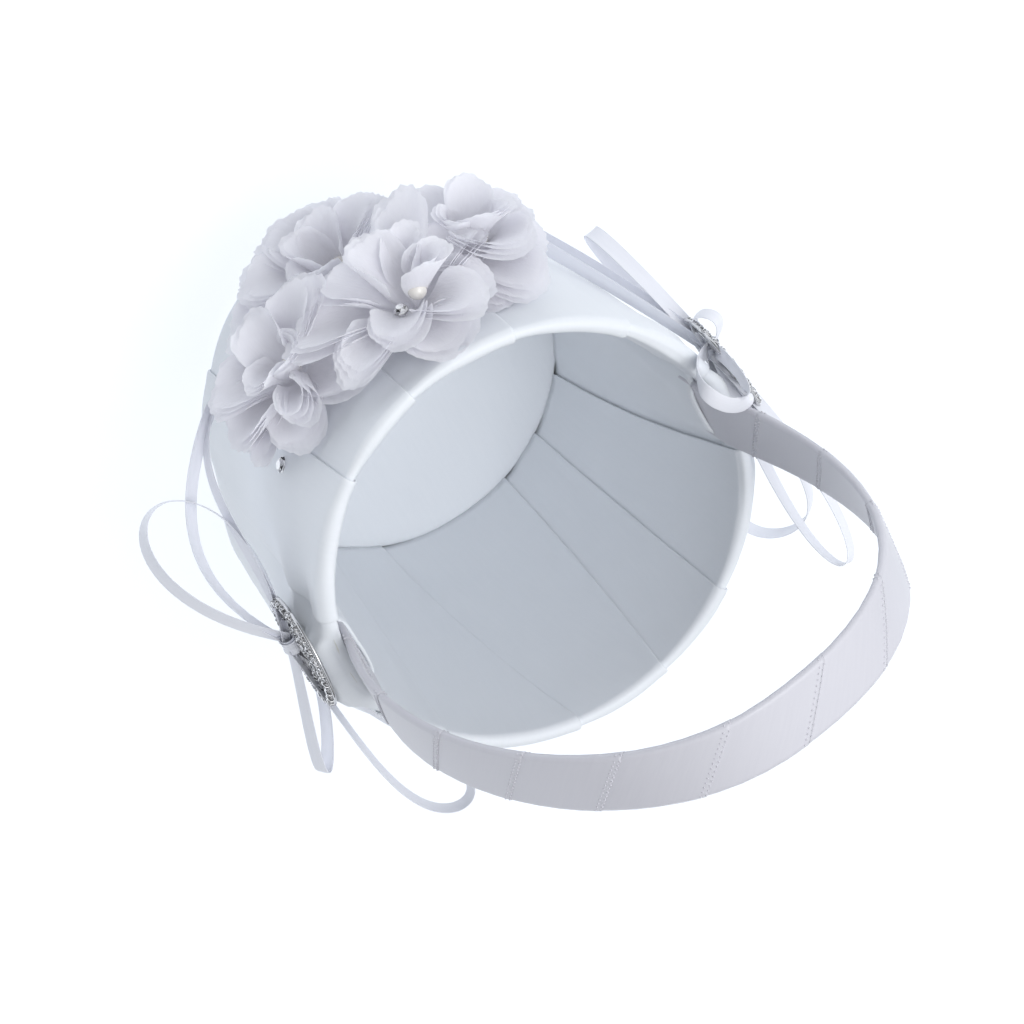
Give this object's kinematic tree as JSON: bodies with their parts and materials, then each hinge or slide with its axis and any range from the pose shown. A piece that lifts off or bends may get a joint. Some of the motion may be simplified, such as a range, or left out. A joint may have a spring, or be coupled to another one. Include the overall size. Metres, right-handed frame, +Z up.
{
  "type": "flower girl basket",
  "caption": "Small round tapered basket wrapped in folded white satin, with a ribbon-wrapped arch handle, chiffon flowers, pearl and crystal trim, and a ribbon bow on each side.",
  "frame": {"origin": "centre of the underside, on the surface that the basket stands on", "axes": "+Z up out of the mouth; -Y towards the front with the flowers; the handle's ends are at +X and -X"},
  "size_m": [0.1933, 0.1647, 0.25],
  "materials": {
    "satin": "smooth white satin with a soft sheen",
    "handle_satin": "white satin ribbon with a soft sheen",
    "chiffon": "sheer matt chiffon with raw edges",
    "ribbon": "narrow satin ribbon with woven edges",
    "board": "plain moulded bucket, hidden under the satin",
    "strip": "plain flexible strip, hidden under its ribbon",
    "steel": "plain wire",
    "silver": "polished silver-plated casting",
    "crystal": "clear cut rhinestone with a foil back",
    "pearl": "ivory imitation pearl"
  },
  "bodies": {
    "root": {"bucket_shell": "board", "base_cover": "satin", "floor_pad": "satin", "satin_panel_01": "satin", "satin_panel_02": "satin", "satin_panel_03": "satin", "satin_panel_04": "satin", "satin_panel_05": "satin", "satin_panel_06": "satin", "satin_panel_07": "satin", "satin_panel_08": "satin", "satin_panel_09": "satin", "satin_panel_10": "satin", "satin_panel_11": "satin", "satin_panel_12": "satin", "lining_panel_left": "satin", "lining_panel_right": "satin", "handle_core": "strip", "handle_wrap": "handle_satin", "staple_right_1": "steel", "staple_right_2": "steel", "staple_left_1": "steel", "staple_left_2": "steel", "brooch_right_frame": "silver", "brooch_right_stone": "crystal", "brooch_left_frame": "silver", "brooch_left_stone": "crystal", "bow_right_knot": "ribbon", "bow_right_loop_1": "ribbon", "bow_right_loop_2": "ribbon", "bow_right_loop_3": "ribbon", "bow_right_loop_4": "ribbon", "bow_left_knot": "ribbon", "bow_left_loop_1": "ribbon", "bow_left_loop_2": "ribbon", "bow_left_loop_3": "ribbon", "bow_left_loop_4": "ribbon", "flower_top_backing": "chiffon", "flower_top_petals_outer": "chiffon", "flower_top_petals_middle": "chiffon", "flower_top_petals_inner": "chiffon", "flower_top_pearl": "pearl", "flower_top_rhinestone": "crystal", "flower_low_backing": "chiffon", "flower_low_petals_outer": "chiffon", "flower_low_petals_middle": "chiffon", "flower_low_petals_inner": "chiffon", "flower_low_pearl": "pearl", "flower_left_backing": "chiffon", "flower_left_petals_outer": "chiffon", "flower_left_petals_middle": "chiffon", "flower_left_petals_inner": "chiffon", "flower_left_pearl": "pearl", "flower_right_backing": "chiffon", "flower_right_petals_outer": "chiffon", "flower_right_petals_middle": "chiffon", "flower_right_petals_inner": "chiffon", "flower_right_pearl": "pearl", "crystal_stud": "crystal"}
  },
  "joints": []
}
